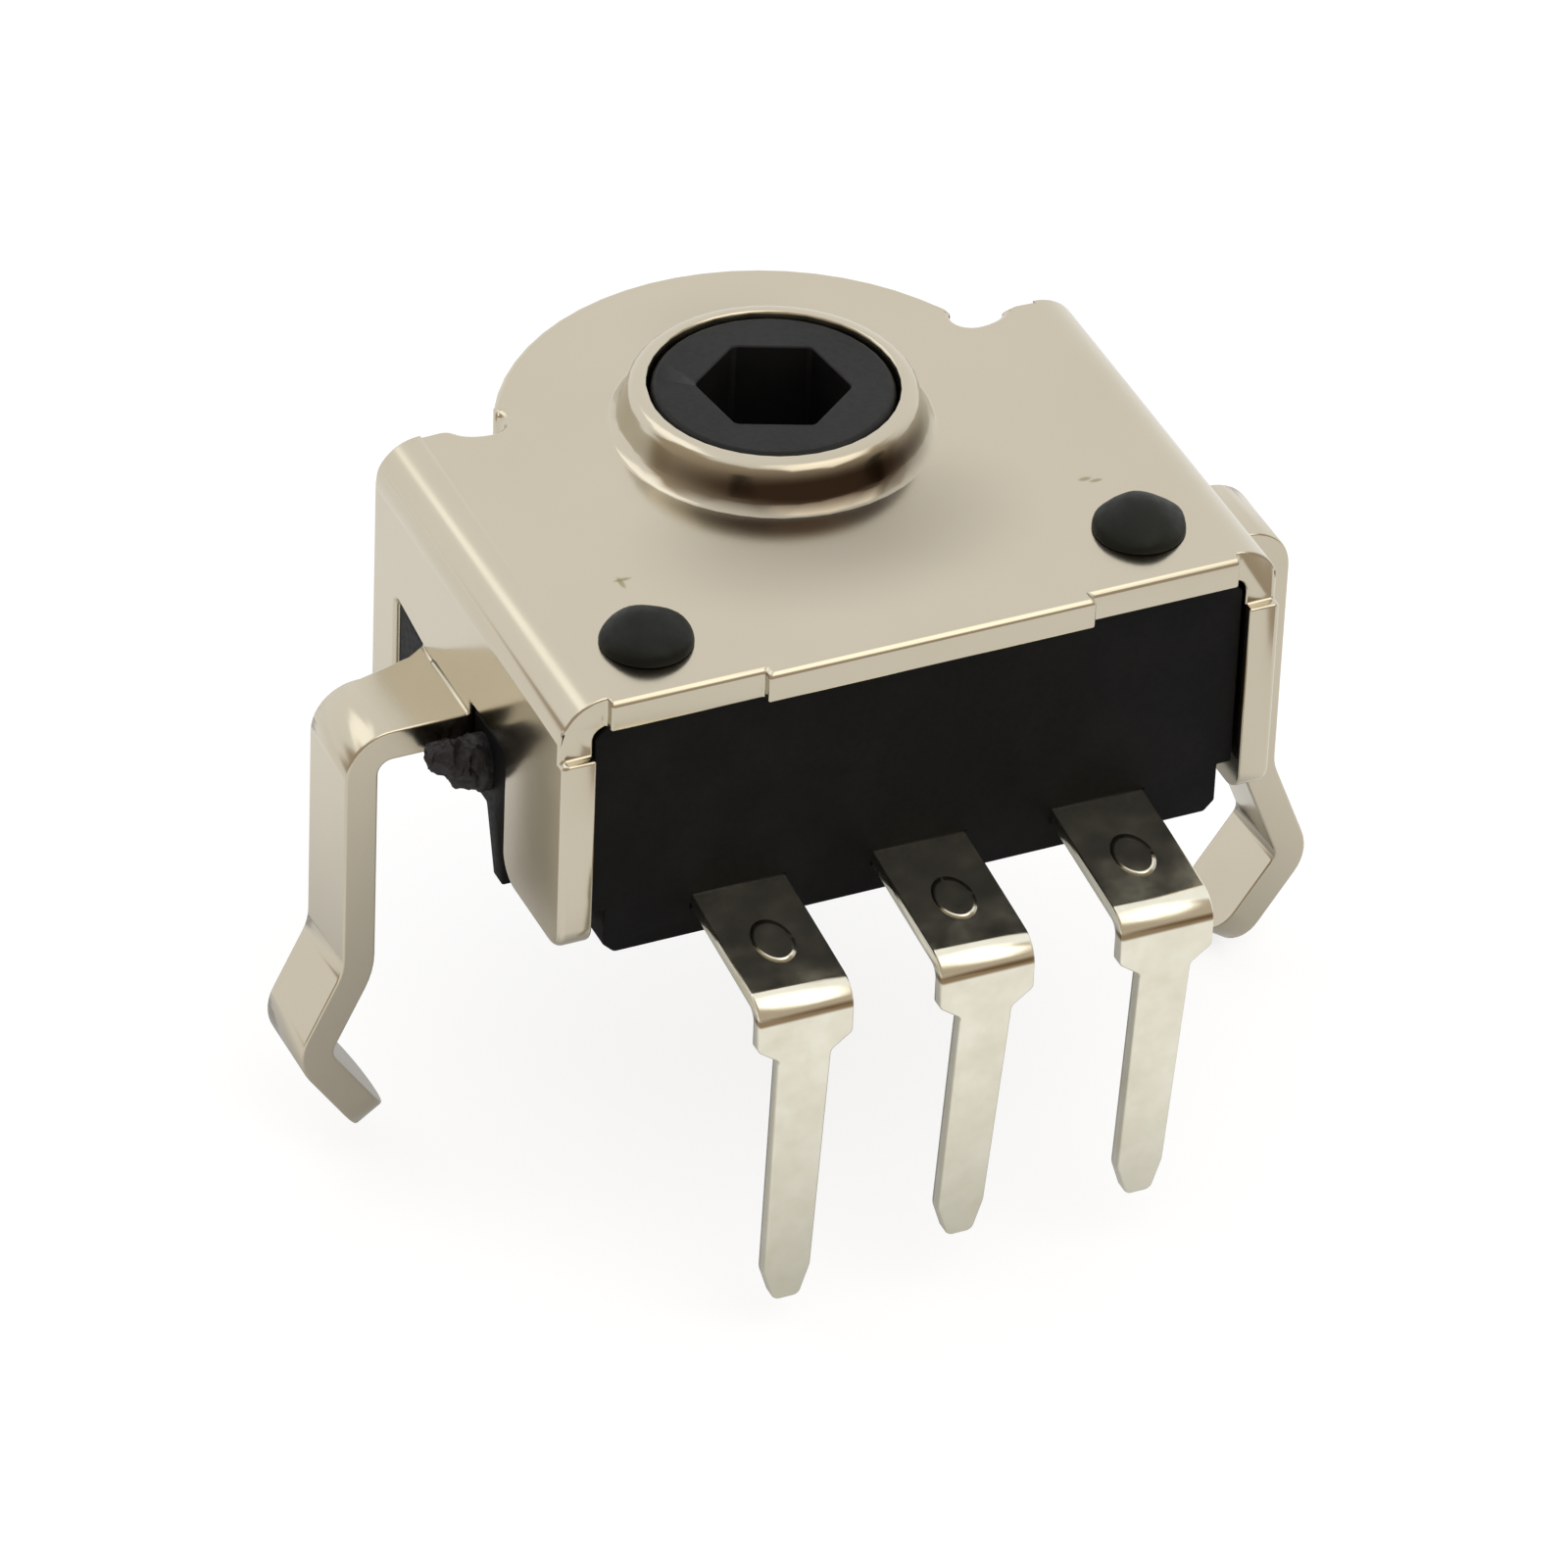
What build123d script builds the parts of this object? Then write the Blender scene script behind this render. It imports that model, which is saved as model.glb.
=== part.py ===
"""Mouse scroll encoder: a 24-detent rotary switch with a hexagonal through bore.

Frame: millimetres, +Z up along the rotor axis.  The origin lies on that axis, in the top
surface of the sheet-metal frame.  The three terminals leave the front, towards -Y, and the
rounded side of the body faces +Y.  The circuit board lies under the moulded base, square
to Z, and takes the three pins and the two snap-in legs.
"""
import os
from dataclasses import dataclass
from math import cos, radians, sin, sqrt, tan

from build123d import *

# ---------------------------------------------------------------- rotor and its fits
hex_flats = 1.74                 # across the flats of the through bore
hex_corner_angle = -22.5         # direction of one corner at rest, degrees from +X
hex_corner_round = 0.10
hub_radius = 1.58
hub_edge_break = 0.06
running_gap = 0.05               # radial gap of the hub in the collar and in the base
end_float = 0.04                 # play of the rotor between the base and the plate
detents = 24
tooth_ring_outer = 3.38
tooth_ring_inner = 2.46
tooth_depth = 0.30
groove_axis_share = 0.42         # groove's axis above the tooth tips, in tooth depths
groove_sides = 9                 # of its cross-section, one of them at the bottom
tooth_web_drop = 0.06            # the web inside the teeth lies this far under their roots
flange_t = 1.16                  # tooth tips to underside
thrust_step_radius = 1.86

# ---------------------------------------------------------------- code disc
code_disc_t = 0.14
code_periods = 12
code_disc_fit = 0.04             # round the rotor's thrust step
common_track_width = 0.42
code_rim = 0.22                  # plastic left outside the disc

# ---------------------------------------------------------------- sheet-metal frame
sheet_t = 0.45
bend_inner = 0.18
frame_half_width = 4.95          # to the outer face of a side plate
plate_front_y = -4.90
shoulder_y = 1.37                # rear end of the side plates
arc_overhang = 0.20              # round rear of the plate beyond the tooth ring
relief_radius = 0.26             # round relief between the arc and each shoulder
relief_x = 3.42
relief_blend = 0.16              # its mouth rounds into the arc and the shoulder
front_lip_half = 2.25            # middle of the front edge stands proud
front_lip_out = 0.14
roll_over = 0.06                 # bevel that blanking leaves on the outer edges
collar_height = 0.63
collar_wall = 0.27
collar_draft = 0.09              # the collar is this much wider at its foot
collar_foot_flare = 0.13
collar_lip_round = 0.19
lip_facets = 3
ledge_z = -0.84                  # below it the side plate's front edge stands proud
ledge_out = 0.14
side_short = 0.24                # the side plates end this far above the base's bottom
window_front_margin = 1.10       # window in front of the leg
window_rear_margin = 1.25        # and behind it
window_over_tab = 0.14
window_slant = 0.22              # its top falls this much from the rear edge to the tab
tab_gusset = (1.00, 0.42)        # web behind the tab's root: reach outwards and rearwards
strip_round_front = 0.36         # lower front corner of the front strip
strip_round_window = 0.44        # its lower corner beside the window
strip_round_rear = 0.26          # both lower corners of the rear strip


# ---------------------------------------------------------------- snap-in legs
@dataclass(frozen=True)
class LegForm:
    """How one leg is bent below its tab: straight shank, then a slant out to the knee."""

    shank: float
    knee_out: float
    knee_drop: float


left_leg = LegForm(shank=3.70, knee_out=0.62, knee_drop=1.26)
right_leg = LegForm(shank=3.90, knee_out=0.60, knee_drop=1.52)
leg_y = -1.29                    # middle of both legs
leg_width = 1.22
leg_stand_off = 1.68             # outer face of a leg from that of the side plate
tab_top_z = -2.02
hook_angle = 35.0                # of the hook to the vertical
hook_length = 1.66               # from the knee to the hook's end
leg_root_radius = 0.27
leg_top_radius = 0.42
leg_kink_radius = 1.00
leg_knee_radius = 0.45
spoon_share = 0.92               # rounding of the hook's end, as a share of half its width

# ---------------------------------------------------------------- moulded base
fit_gap = 0.03                   # base between the side plates, posts in their holes
spring_room = 0.81               # plate to tooth tips
wiper_room = 0.64                # rotor to the chamber's floor
floor_t = 0.96
base_set_back = 0.16             # of the front behind the plate's edge
foot_height = 0.70               # the base is narrower below this height
foot_step_in = 0.20
foot_chamfer = 0.14
side_wall_t = 0.62
chamber_wall_t = 0.26
chamber_gap = 0.08               # round the tooth ring
chamber_rim_drop = 0.32          # wall's rim below the tooth tips
corner_recess = 0.62
slab_rise = 0.08                 # outer floor above the chamber's floor
slab_set_in = 0.07
slab_corner_y = 2.15
slab_wall_margin = 0.30          # the wall stands out behind the floor
slab_edge_chamfer = 0.24
slab_round = 0.16
notch_half = 1.54
notch_depth = 1.17
notch_side = 0.08                # between the notch and the slanting corner
post_x = 3.40
post_from_front = 1.08
post_radius = 0.50
dome_overlap = 0.11              # staked head beyond the shaft
dome_height = 0.40
dome_brim = 0.12                 # steep rim of the head
dome_brim_draft = 0.03
lug_out = 0.43                   # how far a lug fills the window beside the base
lug_gap = 0.04
lug_arch_rise = 1.00             # of the arch under the lug, from the base's bottom
lug_arch_round = 0.16
lug_front_foot = 0.30
lug_rear_foot = 0.35


@dataclass(frozen=True)
class GateStation:
    """One cross-section of the gate stub, at a distance out from the lug."""

    out: float
    width: float
    height: float
    turn: float                  # degrees


gate_y = -2.30
gate_top_z = -2.06
gate_stations = (
    GateStation(out=0.00, width=0.66, height=0.90, turn=0),
    GateStation(out=0.58, width=0.56, height=0.54, turn=5),
    GateStation(out=0.86, width=0.34, height=0.24, turn=16),
)

# ---------------------------------------------------------------- click spring
spring_t = 0.10
spring_outer_margin = 0.02       # inside the tooth ring's outer edge
spring_inner_margin = 0.16
spring_waves = 6
spring_wave_depth = 0.26
spring_wave_radius = 2.40
spring_crest_share = 0.80        # where the crests bend down, as a share of half a wave
spring_bump_half = 0.34          # half width of the two detent bumps
spring_bend_radius = 0.12        # at a bump's foot and tip
spring_first_low = 97.5          # direction of one low point, over a tooth gap
spring_seat_gap = 0.02
bump_engagement = 0.05           # how far a bump reaches below the tooth tips
ear_width = 0.80
ear_reach = 0.42
ear_angle = 7.5


# ---------------------------------------------------------------- terminals
@dataclass(frozen=True)
class TerminalForm:
    """What differs between the terminals: place, pin, contact and tie-bar end."""

    place: int                   # in the row, counted from the middle
    pin_length: float            # below the base's bottom
    lean: float                  # of the pin's tip, along X
    contact_radius: float
    contact_angle: float
    tie_x: float = 0.0           # of the tie-bar end in the rear notch
    tie_width: float = 0.0       # 0 where there is no tie bar


terminal_pitch = 2.50
terminal_t = 0.22
terminal_wide = 1.30
terminal_shift = 0.07            # the three terminals sit this far off centre
terminal_reach = 2.20            # pin's front face in front of the base
strip_depth = 0.45               # middle of the moulded-in strip under the chamber's floor
strip_inside = 0.35              # wide strip inside the base's front
droop = 0.26
droop_radius = 0.50
pin_bend_radius = 0.26
shoulder_drop = 0.45             # shoulders below the base's bottom
shoulder_slope = 0.11
shoulder_round = 0.10
blade_top_width = 0.72
blade_tip_width = 0.64
nose_length = 0.46
nose_share = 0.55                # width of the nose's blunt end
nose_round = 0.28
nose_tip_round = 0.11
tie_bar_width = 0.50
tie_bar_set_in = 0.12            # from the strip's outer edge
tie_bar_turn_y = 0.90
tie_end_length = 0.76
tie_end_out = 0.04               # cut end beyond the chamber's wall
finger_width = 0.52
finger_t = 0.14
finger_length = 1.75
finger_heel = 0.30               # end turned down past the contact
finger_slot_gap = 0.06
contact_gap = 0.02
wiper_inside_track = 0.20        # wipers A and B outside the common track
first_wiper_angle = 203.5

# ---------------------------------------------------------------- worked-out sizes
hex_radius = hex_flats / sqrt(3)
collar_inner = hub_radius + running_gap
collar_outer = collar_inner + collar_wall
bend_outer = bend_inner + sheet_t
bend_x = frame_half_width - bend_outer
arc_radius = tooth_ring_outer + arc_overhang
tooth_tip_z = -sheet_t - spring_room
tooth_root_z = tooth_tip_z - tooth_depth
flange_underside_z = tooth_tip_z - flange_t
floor_z = flange_underside_z - wiper_room
base_bottom_z = floor_z - floor_t
rotor_top_z = collar_height - end_float
rotor_low_z = base_bottom_z + end_float
tooth_pitch_angle = 360 / detents

leg_front_y = leg_y - leg_width / 2
leg_rear_y = leg_y + leg_width / 2
leg_outer_x = frame_half_width + leg_stand_off
window_front_y = leg_front_y - window_front_margin
window_rear_y = leg_rear_y + window_rear_margin
window_top_z = tab_top_z + window_over_tab
side_bottom_z = base_bottom_z + side_short

base_half_width = frame_half_width - sheet_t - fit_gap
base_front_y = plate_front_y + base_set_back
foot_top_z = base_bottom_z + foot_height
wall_inner = tooth_ring_outer + chamber_gap
wall_outer = wall_inner + chamber_wall_t
wall_rim_z = tooth_tip_z - chamber_rim_drop
slab_top_z = floor_z + slab_rise
slab_half_width = base_half_width - slab_set_in
slab_rear_y = wall_outer - slab_wall_margin
notch_front_y = wall_outer - notch_depth
post_y = plate_front_y + post_from_front
dome_radius = post_radius + dome_overlap

spring_outer = tooth_ring_outer - spring_outer_margin
spring_inner = tooth_ring_inner + spring_inner_margin
spring_top_z = -sheet_t - spring_seat_gap
spring_ear_radius = wall_inner + ear_reach - chamber_gap - spring_outer_margin

strip_z = floor_z - strip_depth
strip_top_z = strip_z + terminal_t / 2
notch_top_z = strip_z - terminal_t / 8
pin_face_y = base_front_y - terminal_reach
shoulder_z = base_bottom_z - shoulder_drop
code_disc_inner = thrust_step_radius + code_disc_fit
common_track_outer = code_disc_inner + common_track_width
code_track_outer = tooth_ring_outer - code_rim
wiper_radius = common_track_outer + wiper_inside_track
quarter_period = 360 / code_periods / 4
second_wiper_angle = first_wiper_angle + 4 * 360 / code_periods + quarter_period

terminals = {
    "terminal_a": TerminalForm(-1, 4.40, -0.12, wiper_radius, first_wiper_angle, -0.60, 1.08),
    "terminal_c": TerminalForm(0, 4.05, -0.21, code_disc_inner + common_track_width / 2, 270.0),
    "terminal_b": TerminalForm(1, 4.11, -0.18, wiper_radius, second_wiper_angle, 1.07, 0.76),
}


# ================================================================ drawing helpers
def ring_face(points, radii):
    """A closed outline through points, each corner rounded to its own radius."""
    return make_face(FilletPolyline(*points, radius=radii, close=True))


def along_y(face, y0, y1):
    """A face drawn as (x, z), standing from y0 to y1."""
    return extrude(Plane.XZ.offset(-y0) * face, y0 - y1)


def along_x(face, x0, x1):
    """A face drawn as (y, z), standing from x0 to x1."""
    return extrude(Plane.YZ.offset(x0) * face, x1 - x0)


def along_z(face, z0, z1):
    """A face drawn as (x, y), standing from z0 to z1."""
    return extrude(Plane.XY.offset(z0) * face, z1 - z0)


def block(x0, x1, y0, y1, z0, z1):
    """A plain block between two corners."""
    box = Box(x1 - x0, y1 - y0, z1 - z0, align=(Align.MIN, Align.MIN, Align.MIN))
    return Pos(x0, y0, z0) * box


def disc(radius, z0, z1):
    """A round disc about the rotor axis."""
    return along_z(Circle(radius), z0, z1)


def turned(outline):
    """The solid of revolution of a wire drawn as (radius, z)."""
    return revolve(Plane.XZ * make_face(outline), Axis.Z)


def wedge(reach, angle, centre_angle=0.0):
    """Triangular face from the axis, angle wide about its centre line."""
    half = reach * tan(radians(angle / 2))
    corners = Polyline((0, 0), (reach, -half), (reach, half), (0, 0))
    return Rotation(0, 0, centre_angle) * make_face(corners)


def mirrored(solid):
    """The same piece on the other side of the part."""
    return mirror(solid, Plane.YZ)


# ================================================================ frame
def rolled_sheet(outline, thickness):
    """Sheet under z = 0 whose upper edges are rolled over by the blanking tool."""
    upper = offset(outline, -roll_over, kind=Kind.INTERSECTION)
    skin = loft([(Pos(0, 0, -roll_over) * outline).face(), upper.face()], ruled=True)
    return along_z(outline, -thickness, -roll_over) + skin


def plate_outline():
    """The top plate in plan, run out past both bends, with the round rear."""
    past = frame_half_width + sheet_t
    outline = ring_face(
        [(-past, plate_front_y), (past, plate_front_y), (past, shoulder_y), (-past, shoulder_y)], 0)
    lip = Pos(0, plate_front_y) * Rectangle(2 * front_lip_half, 2 * front_lip_out)
    outline += Circle(arc_radius) + lip
    for side in (-1, 1):
        outline -= Pos(side * relief_x, shoulder_y) * Circle(relief_radius)
    mouths = [corner for corner in outline.vertices()
              if corner.Y > 0 and abs(corner.X) < relief_x + 2 * relief_radius]
    return fillet(mouths, relief_blend)


def side_outline():
    """Side plate seen from the side, as (y, z): two strips with a window between."""
    set_back = plate_front_y + ledge_out
    front, window, rear = strip_round_front, strip_round_window, strip_round_rear
    crisp = 1.5 * roll_over
    points = [(set_back, sheet_t), (set_back, ledge_z), (plate_front_y, ledge_z),
              (plate_front_y, side_bottom_z), (window_front_y, side_bottom_z),
              (window_front_y, window_top_z), (leg_front_y, window_top_z),
              (leg_rear_y, window_top_z - window_slant), (window_rear_y, window_top_z),
              (window_rear_y, side_bottom_z), (shoulder_y, side_bottom_z), (shoulder_y, sheet_t)]
    return ring_face(points, [0, 0, 0, front, window, crisp, 0, 0, crisp, rear, rear, 0])


def side_plate():
    """Right-hand side plate with its bend, cut to the side outline."""
    middle_x = frame_half_width - sheet_t / 2
    path = FilletPolyline((bend_x, -sheet_t / 2), (middle_x, -sheet_t / 2),
                          (middle_x, side_bottom_z), radius=bend_inner + sheet_t / 2)
    plate = along_y(trace(path, sheet_t), plate_front_y, shoulder_y)
    cut = rolled_sheet(side_outline(), bend_outer)
    return plate & (Plane.YZ.offset(frame_half_width).location * cut)


def bent_sheet():
    """Top plate between the bend lines, and the two side plates."""
    plate = rolled_sheet(plate_outline(), sheet_t)
    plate &= block(-bend_x, bend_x, 2 * plate_front_y, 2 * arc_radius, -sheet_t, 0)
    side = side_plate()
    return plate + side + mirrored(side)


def collar():
    """Drawn collar: a tapered tube that flares into the plate and turns over into a lip."""
    foot = collar_outer + collar_draft
    base_r = foot + collar_foot_flare
    lip_r, lip_z = collar_outer - collar_lip_round, collar_height - collar_lip_round
    lip = [(lip_r + collar_lip_round * cos(turn), lip_z + collar_lip_round * sin(turn))
           for turn in (radians(90 * step / lip_facets) for step in range(lip_facets + 1))]
    with BuildLine() as line:
        Polyline((collar_inner, collar_height), (collar_inner, -sheet_t), (base_r, -sheet_t),
                 (base_r, 0), (foot, collar_foot_flare), *lip, close=True)
    return turned(line.line)


def leg(form):
    """Right-hand snap-in leg: tab out of the side plate, shank, knee and spoon-ended hook."""
    plate_x = frame_half_width - sheet_t / 2
    shank_x = leg_outer_x - sheet_t / 2
    tab_z = tab_top_z - sheet_t / 2
    kink_z = tab_top_z - form.shank
    knee_x, knee_z = shank_x + form.knee_out, kink_z - form.knee_drop
    end_x = knee_x - hook_length * sin(radians(hook_angle))
    end_z = knee_z - hook_length * cos(radians(hook_angle))
    path = FilletPolyline(
        (plate_x, window_top_z + sheet_t), (plate_x, tab_z), (shank_x, tab_z),
        (shank_x, kink_z), (knee_x, knee_z), (end_x, end_z),
        radius=[leg_root_radius, leg_top_radius, leg_kink_radius, leg_knee_radius])
    ribbon = along_y(trace(path, sheet_t), leg_front_y, leg_rear_y)
    across = [edge for edge in ribbon.edges() if abs(edge.length - sheet_t) < 1e-3]
    ribbon = fillet(ShapeList(across).sort_by(Axis.Z)[:2], spoon_share * leg_width / 2)
    reach, depth = tab_gusset
    web = Pos(frame_half_width, leg_rear_y) * ring_face(
        [(-roll_over, 0), (reach, 0), (reach / 4, depth / 2), (-roll_over, depth)], 0)
    return ribbon + along_z(web, tab_top_z - sheet_t, tab_top_z)


def frame():
    """The whole stamping: plate, collar, side plates and legs in one sheet."""
    body = bent_sheet() + collar()
    body += leg(right_leg)
    body += mirrored(leg(left_leg))
    for side in (-1, 1):
        hole = Pos(side * post_x, post_y) * Circle(post_radius + fit_gap)
        body -= along_z(hole, -sheet_t, 0)
    return body - disc(collar_inner, -sheet_t, collar_height)


# ================================================================ base
def base_body():
    """Block between the side plates, open to the rear, with the narrower foot."""
    half, foot = base_half_width, base_half_width - foot_step_in
    chamfer_z = base_bottom_z + foot_chamfer
    right = [(half - bend_inner, -sheet_t), (half, -sheet_t - bend_inner),
             (half, foot_top_z), (foot, foot_top_z), (foot, chamfer_z),
             (foot - foot_chamfer, base_bottom_z)]
    left = [(-x, z) for x, z in reversed(right)]
    section = make_face(Polyline(*right, *left, right[0]))
    return along_y(section, base_front_y, shoulder_y)


def floor_slab():
    """Rear of the floor: chamfered corners in plan and a bevelled upper edge."""
    rear_half = notch_half + notch_side
    plan = make_face(Polyline(
        (-slab_half_width, window_front_y), (slab_half_width, window_front_y),
        (slab_half_width, slab_corner_y), (rear_half, slab_rear_y),
        (-rear_half, slab_rear_y), (-slab_half_width, slab_corner_y),
        (-slab_half_width, window_front_y)))
    slab = along_z(plan, base_bottom_z, slab_top_z)
    behind = [edge for edge in slab.edges().group_by(Axis.Z)[-1]
              if edge.center().Y > slab_corner_y]
    slab = chamfer(behind, slab_edge_chamfer)
    corners = [edge for edge in slab.edges().filter_by(Axis.Z) if edge.center().Y > 0]
    return fillet(corners, slab_round)


def lug():
    """Right-hand lug that fills the window under and beside the leg, arched underneath."""
    front, rear = window_front_y + lug_gap, window_rear_y - lug_gap
    top, low = window_top_z - lug_gap, base_bottom_z
    beside_front, beside_rear = leg_front_y - lug_gap, leg_rear_y + lug_gap
    under_tab = tab_top_z - sheet_t - leg_root_radius / 2
    arch_z = base_bottom_z + lug_arch_rise
    haunch = lug_arch_rise / 4
    outline = ring_face(
        [(front, top), (beside_front, top), (beside_front, under_tab),
         (beside_rear, under_tab), (beside_rear, top - window_slant), (rear, top),
         (rear, low), (rear - lug_rear_foot, arch_z - haunch), (leg_y, arch_z),
         (front + 2 * lug_front_foot, arch_z), (front + lug_front_foot, low), (front, low)],
        [0, 0, lug_gap, lug_gap, 0, 0, lug_gap, lug_arch_round, 2 * lug_arch_round,
         lug_arch_round, lug_gap, lug_gap])
    return along_x(outline, base_half_width - side_wall_t, base_half_width + lug_out)


def gate_stub():
    """Broken-off moulding gate in front of the left tab: a stub torn off at a slant."""
    root_x = -(base_half_width + lug_out)
    stations = []
    for station in gate_stations:
        place = Pos(gate_y, gate_top_z - station.height / 2) * Rotation(0, 0, station.turn)
        section = place * RectangleRounded(station.width, station.height, station.width / 6)
        stations.append((Plane.YZ.offset(root_x - station.out).location * section).face())
    return loft(stations, ruled=True)


def posts():
    """Two heat-staked posts: a shaft through the plate and a domed head on it."""
    brim_radius = dome_radius - dome_brim_draft
    with BuildLine() as dome:
        Polyline((0, dome_height), (0, 0), (dome_radius, 0), (brim_radius, dome_brim))
        TangentArc((0, dome_height), (brim_radius, dome_brim), tangent=(1, 0))
    post = turned(dome.line) + disc(post_radius, -2 * sheet_t, 0)
    return [Pos(side * post_x, post_y, 0) * post for side in (-1, 1)]


def corner_pocket():
    """Right-hand recess behind the side wall, beside the round chamber wall."""
    inner_face = base_half_width - side_wall_t
    pocket = block(0, inner_face, shoulder_y - corner_recess, shoulder_y + corner_recess,
                   slab_top_z, 0)
    return pocket - disc(wall_outer, slab_top_z, 0)


def finger_slots():
    """Troughs in the floor that let the wipers spring down."""
    slots = []
    for form in terminals.values():
        x, contact_y = contact_place(form)
        half = finger_width / 2 + finger_slot_gap
        slots.append(block(x - half, x + half, contact_y - finger_length - finger_heel,
                           contact_y + finger_heel + 2 * finger_slot_gap,
                           strip_z - terminal_t / 2, floor_z))
    return slots


def base(terminal_solids):
    """One moulding: body, floor, round chamber wall, lugs, posts and the gate stub."""
    body = base_body() + floor_slab() + disc(wall_outer, notch_top_z, wall_rim_z)
    body += lug()
    body += mirrored(lug())
    body -= corner_pocket()
    body -= mirrored(corner_pocket())
    body -= disc(wall_inner, floor_z, 0)
    behind = wall_outer + notch_depth
    body -= block(-wall_inner, wall_inner, shoulder_y - corner_recess, behind, wall_rim_z, 0)
    body -= disc(collar_inner, base_bottom_z, floor_z)
    body -= block(-notch_half, notch_half, notch_front_y, behind, base_bottom_z, notch_top_z)
    body -= ear_slots() + finger_slots()
    body += posts()
    body += gate_stub()
    for solid in terminal_solids:
        body -= solid
    return body


# ================================================================ rotor
def detent_grooves():
    """Grooves that narrow towards the axis and leave the face teeth standing between them."""
    axis_z = tooth_tip_z + groove_axis_share * tooth_depth
    depth = axis_z - tooth_root_z
    ends = []
    for radius in (tooth_ring_inner / 2, wall_outer):
        section = RegularPolygon(depth * radius / tooth_ring_outer, groove_sides,
                                 major_radius=False, rotation=90)
        ends.append((Plane.YZ.offset(radius).location * section).face())
    groove = Pos(0, 0, axis_z) * loft(ends, ruled=True)
    groove -= disc(tooth_ring_inner, tooth_root_z - tooth_depth, 0)
    first = tooth_pitch_angle / 2
    return [Rotation(0, 0, first + step * tooth_pitch_angle) * groove
            for step in range(detents)]


def hex_bore():
    """Hexagonal hole right through the rotor, turned to its rest position."""
    hexagon = RegularPolygon(hex_radius, 6)
    hexagon = fillet(hexagon.vertices(), hex_corner_round)
    return along_z(Rotation(0, 0, hex_corner_angle) * hexagon, rotor_low_z, rotor_top_z)


def rotor(code_disc_solid):
    """Hub, toothed flange, thrust step and lower hub in one moulding."""
    web_top_z = tooth_root_z - tooth_web_drop
    body = disc(hub_radius, rotor_low_z, rotor_top_z)
    body = chamfer(body.edges().filter_by(GeomType.CIRCLE), hub_edge_break)
    flange = disc(tooth_ring_outer, flange_underside_z, tooth_tip_z)
    flange -= disc(tooth_ring_inner, web_top_z, 0)
    body += flange
    body += disc(thrust_step_radius, floor_z + end_float, flange_underside_z)
    for groove in detent_grooves():
        body -= groove
    return body - hex_bore() - code_disc_solid


def code_disc():
    """Contact plate under the rotor: a common ring with twelve teeth."""
    tooth_angle = 180 / code_periods
    plan = Circle(common_track_outer)
    for step in range(code_periods):
        tooth = wedge(2 * code_track_outer, tooth_angle, step * 2 * tooth_angle)
        plan += tooth & Circle(code_track_outer)
    return along_z(plan - Circle(code_disc_inner), flange_underside_z,
                   flange_underside_z + code_disc_t)


# ================================================================ click spring
def wave_band(has_bump):
    """One wave of the spring strip, as a face across the ring: high, low, high."""
    half_pitch = spring_outer * tan(radians(180 / spring_waves))
    high = spring_top_z - spring_t / 2
    low = high - spring_wave_depth
    crest = spring_crest_share * half_pitch
    if has_bump:
        tip = tooth_tip_z - bump_engagement + spring_t / 2
        foot = spring_bump_half + 2 * spring_bend_radius
        turns = [(crest, high), (foot, low), (spring_bump_half, low), (spring_t, tip)]
        radii = [spring_wave_radius, spring_wave_radius / 4] + 2 * [spring_bend_radius]
    else:
        turns = [(crest, high), (spring_bump_half, low)]
        radii = 2 * [spring_wave_radius]
    right = [(half_pitch, high)] + turns
    left = [(-x, z) for x, z in right[::-1]]
    return trace(FilletPolyline(*right, *left, radius=radii + radii[::-1]), spring_t)


def click_spring():
    """Wavy ring with two deeper bumps that drop between the rotor's teeth."""
    sector_angle = 360 / spring_waves
    reach = spring_outer + ear_reach
    sector = (Circle(spring_outer) - Circle(spring_inner)) & wedge(reach, sector_angle, 90)
    ring = along_z(sector, tooth_root_z, 0)
    spring = Part()
    for wave in range(spring_waves):
        piece = ring & along_y(wave_band(wave % (spring_waves // 2) == 0), 0, reach)
        spring += Rotation(0, 0, spring_first_low - 90 + wave * sector_angle) * piece
    for turn in (0, 180):
        ear = block(spring_outer - spring_t, spring_ear_radius, -ear_width / 2,
                    ear_width / 2, spring_top_z - spring_t, spring_top_z)
        spring += Rotation(0, 0, ear_angle + turn) * ear
    return spring


def ear_slots():
    """Slots in the base that stop the spring from turning."""
    half = ear_width / 2 + fit_gap
    slot = block(spring_inner, spring_ear_radius + fit_gap, -half, half,
                 spring_top_z - spring_t - fit_gap, 0)
    return [Rotation(0, 0, ear_angle + turn) * slot for turn in (0, 180)]


# ================================================================ terminals
def contact_place(form):
    """Where a wiper touches the code disc, as (x, y)."""
    angle = radians(form.contact_angle)
    return form.contact_radius * cos(angle), form.contact_radius * sin(angle)


def finger(x, contact_y):
    """Wiper sprung up from the strip, with its end turned down past the contact."""
    top = flange_underside_z - contact_gap - finger_t / 2
    low = strip_top_z - finger_t / 2
    root_y = contact_y - finger_length
    path = FilletPolyline(
        (root_y - finger_heel, low), (root_y + finger_t, low),
        (contact_y - finger_heel, top - finger_t / 3), (contact_y, top),
        (contact_y + finger_heel, top - finger_heel),
        radius=[2 * finger_t, 2 * finger_t, finger_t])
    return along_x(trace(path, finger_t), x - finger_width / 2, x + finger_width / 2)


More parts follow.
